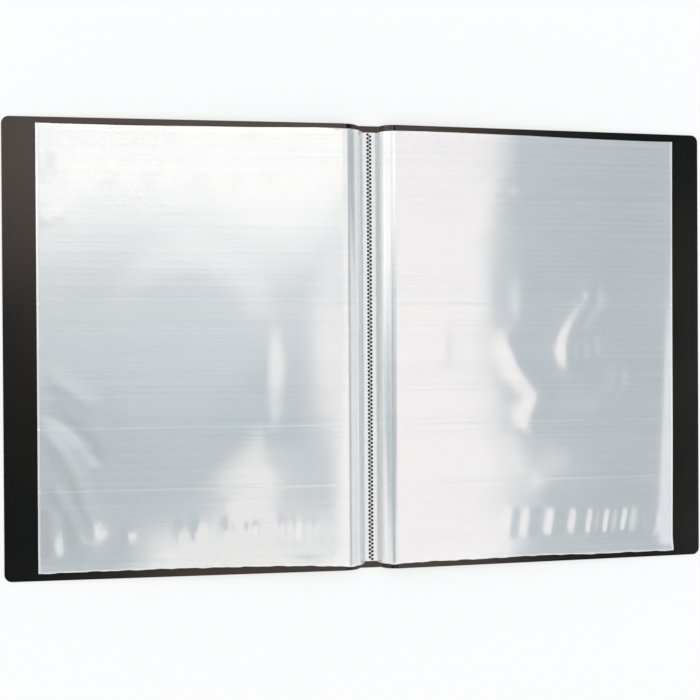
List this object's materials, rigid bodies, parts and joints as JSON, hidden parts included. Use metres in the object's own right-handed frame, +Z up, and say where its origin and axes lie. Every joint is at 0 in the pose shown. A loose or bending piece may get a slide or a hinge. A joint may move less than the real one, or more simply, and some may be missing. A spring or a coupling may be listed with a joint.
{
  "type": "clear pocket display book",
  "caption": "Open A4 display book: black flexible plastic cover with a narrow spine and clear top-loading film pockets welded to the spine in two stacks that turn like pages.",
  "frame": {"origin": "on the surface that the book lies on, under the middle of the spine", "axes": "+X across the open book towards the back cover's outer edge, +Y along the spine towards the pocket mouths, +Z up"},
  "size_m": [0.4938, 0.31, 0.0124],
  "materials": {
    "cover_sheet": "fine grain, satin",
    "clear_film": "clear, glossy",
    "weld": "fused film"
  },
  "bodies": {
    "spine": {"spine_panel": "cover_sheet", "weld_strip": "weld", "front_hinge_strip": "cover_sheet", "back_hinge_strip": "cover_sheet", "left_film_roots": "clear_film", "right_film_roots": "clear_film"},
    "front_cover": {"front_cover": "cover_sheet"},
    "back_cover": {"back_cover": "cover_sheet"},
    "left_pocket_10": {"left_pocket_10": "clear_film"},
    "left_pocket_09": {"left_pocket_09": "clear_film"},
    "left_pocket_08": {"left_pocket_08": "clear_film"},
    "left_pocket_07": {"left_pocket_07": "clear_film"},
    "left_pocket_06": {"left_pocket_06": "clear_film"},
    "left_pocket_05": {"left_pocket_05": "clear_film"},
    "left_pocket_04": {"left_pocket_04": "clear_film"},
    "left_pocket_03": {"left_pocket_03": "clear_film"},
    "left_pocket_02": {"left_pocket_02": "clear_film"},
    "left_pocket_01": {"left_pocket_01": "clear_film"},
    "right_pocket_10": {"right_pocket_10": "clear_film"},
    "right_pocket_09": {"right_pocket_09": "clear_film"},
    "right_pocket_08": {"right_pocket_08": "clear_film"},
    "right_pocket_07": {"right_pocket_07": "clear_film"},
    "right_pocket_06": {"right_pocket_06": "clear_film"},
    "right_pocket_05": {"right_pocket_05": "clear_film"},
    "right_pocket_04": {"right_pocket_04": "clear_film"},
    "right_pocket_03": {"right_pocket_03": "clear_film"},
    "right_pocket_02": {"right_pocket_02": "clear_film"},
    "right_pocket_01": {"right_pocket_01": "clear_film"}
  },
  "joints": [
    {"name": "front_cover_hinge", "type": "hinge", "parent": "spine", "child": "front_cover", "pos_m": [-0.00955, 0, 0.00469], "axis": [0, -1, 0], "range_deg": [-91.63, 0], "deforming": ["front_hinge_strip", "left_film_roots"]},
    {"name": "back_cover_hinge", "type": "hinge", "parent": "spine", "child": "back_cover", "pos_m": [0.00955, 0, 0.00469], "axis": [0, 1, 0], "range_deg": [-91.63, 0], "deforming": ["back_hinge_strip", "right_film_roots"]},
    {"name": "left_pocket_10_turn", "type": "hinge", "parent": "front_cover", "child": "left_pocket_10", "pos_m": [0, 0, 0.01301], "axis": [0, 1, 0], "range_deg": [0, 179.95]},
    {"name": "left_pocket_09_turn", "type": "hinge", "parent": "left_pocket_10", "child": "left_pocket_09", "pos_m": [0, 0, 0.01301], "axis": [0, 1, 0], "range_deg": [0, 179.95]},
    {"name": "left_pocket_08_turn", "type": "hinge", "parent": "left_pocket_09", "child": "left_pocket_08", "pos_m": [0, 0, 0.01301], "axis": [0, 1, 0], "range_deg": [0, 179.95]},
    {"name": "left_pocket_07_turn", "type": "hinge", "parent": "left_pocket_08", "child": "left_pocket_07", "pos_m": [0, 0, 0.01301], "axis": [0, 1, 0], "range_deg": [0, 179.95]},
    {"name": "left_pocket_06_turn", "type": "hinge", "parent": "left_pocket_07", "child": "left_pocket_06", "pos_m": [0, 0, 0.01301], "axis": [0, 1, 0], "range_deg": [0, 179.95]},
    {"name": "left_pocket_05_turn", "type": "hinge", "parent": "left_pocket_06", "child": "left_pocket_05", "pos_m": [0, 0, 0.01301], "axis": [0, 1, 0], "range_deg": [0, 179.95]},
    {"name": "left_pocket_04_turn", "type": "hinge", "parent": "left_pocket_05", "child": "left_pocket_04", "pos_m": [0, 0, 0.01301], "axis": [0, 1, 0], "range_deg": [0, 179.95]},
    {"name": "left_pocket_03_turn", "type": "hinge", "parent": "left_pocket_04", "child": "left_pocket_03", "pos_m": [0, 0, 0.01301], "axis": [0, 1, 0], "range_deg": [0, 179.95]},
    {"name": "left_pocket_02_turn", "type": "hinge", "parent": "left_pocket_03", "child": "left_pocket_02", "pos_m": [0, 0, 0.01301], "axis": [0, 1, 0], "range_deg": [0, 179.95]},
    {"name": "left_pocket_01_turn", "type": "hinge", "parent": "left_pocket_02", "child": "left_pocket_01", "pos_m": [0, 0, 0.01301], "axis": [0, 1, 0], "range_deg": [0, 179.95]},
    {"name": "right_pocket_10_turn", "type": "hinge", "parent": "back_cover", "child": "right_pocket_10", "pos_m": [0, 0, 0.01301], "axis": [0, -1, 0], "range_deg": [0, 179.95]},
    {"name": "right_pocket_09_turn", "type": "hinge", "parent": "right_pocket_10", "child": "right_pocket_09", "pos_m": [0, 0, 0.01301], "axis": [0, -1, 0], "range_deg": [0, 179.95]},
    {"name": "right_pocket_08_turn", "type": "hinge", "parent": "right_pocket_09", "child": "right_pocket_08", "pos_m": [0, 0, 0.01301], "axis": [0, -1, 0], "range_deg": [0, 179.95]},
    {"name": "right_pocket_07_turn", "type": "hinge", "parent": "right_pocket_08", "child": "right_pocket_07", "pos_m": [0, 0, 0.01301], "axis": [0, -1, 0], "range_deg": [0, 179.95]},
    {"name": "right_pocket_06_turn", "type": "hinge", "parent": "right_pocket_07", "child": "right_pocket_06", "pos_m": [0, 0, 0.01301], "axis": [0, -1, 0], "range_deg": [0, 179.95]},
    {"name": "right_pocket_05_turn", "type": "hinge", "parent": "right_pocket_06", "child": "right_pocket_05", "pos_m": [0, 0, 0.01301], "axis": [0, -1, 0], "range_deg": [0, 179.95]},
    {"name": "right_pocket_04_turn", "type": "hinge", "parent": "right_pocket_05", "child": "right_pocket_04", "pos_m": [0, 0, 0.01301], "axis": [0, -1, 0], "range_deg": [0, 179.95]},
    {"name": "right_pocket_03_turn", "type": "hinge", "parent": "right_pocket_04", "child": "right_pocket_03", "pos_m": [0, 0, 0.01301], "axis": [0, -1, 0], "range_deg": [0, 179.95]},
    {"name": "right_pocket_02_turn", "type": "hinge", "parent": "right_pocket_03", "child": "right_pocket_02", "pos_m": [0, 0, 0.01301], "axis": [0, -1, 0], "range_deg": [0, 179.95]},
    {"name": "right_pocket_01_turn", "type": "hinge", "parent": "right_pocket_02", "child": "right_pocket_01", "pos_m": [0, 0, 0.01301], "axis": [0, -1, 0], "range_deg": [0, 179.95]}
  ]
}
